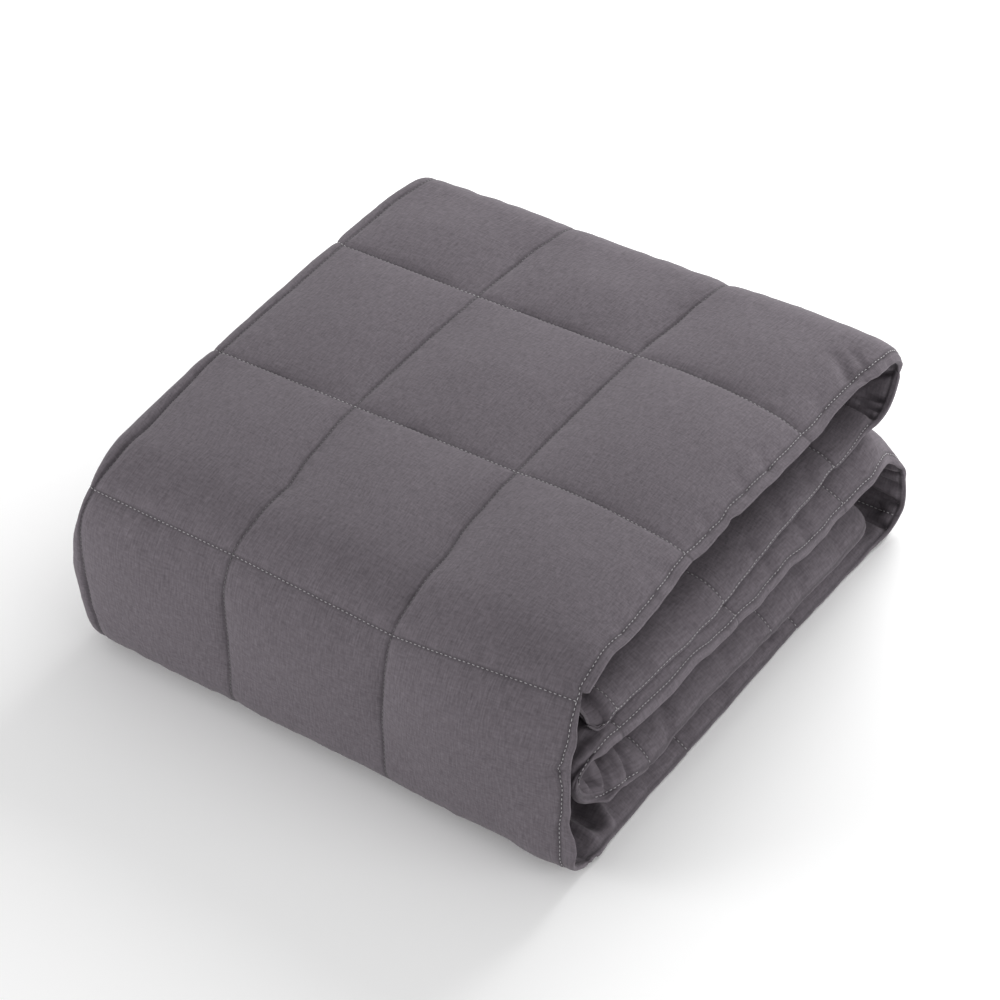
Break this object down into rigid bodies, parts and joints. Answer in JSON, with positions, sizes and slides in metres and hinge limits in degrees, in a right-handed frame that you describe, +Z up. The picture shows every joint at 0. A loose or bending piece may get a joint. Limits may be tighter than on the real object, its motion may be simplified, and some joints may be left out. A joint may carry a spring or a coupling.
{
  "type": "weighted blanket",
  "caption": "Quilted weighted blanket in plain grey cotton, folded lengthwise and rolled flat into a thick square bundle that rests on a surface.",
  "frame": {"origin": "under the middle of the folded bundle, on the surface that it rests on", "axes": "+Z up; -Y towards the large front fold; +X towards the side where the hems show"},
  "size_m": [0.3702, 0.3814, 0.1425],
  "materials": {
    "blanket_fabric": "matt plain-woven cotton, quilted in squares with paler grey thread"
  },
  "bodies": {
    "root": {"blanket": "blanket_fabric"}
  },
  "joints": []
}
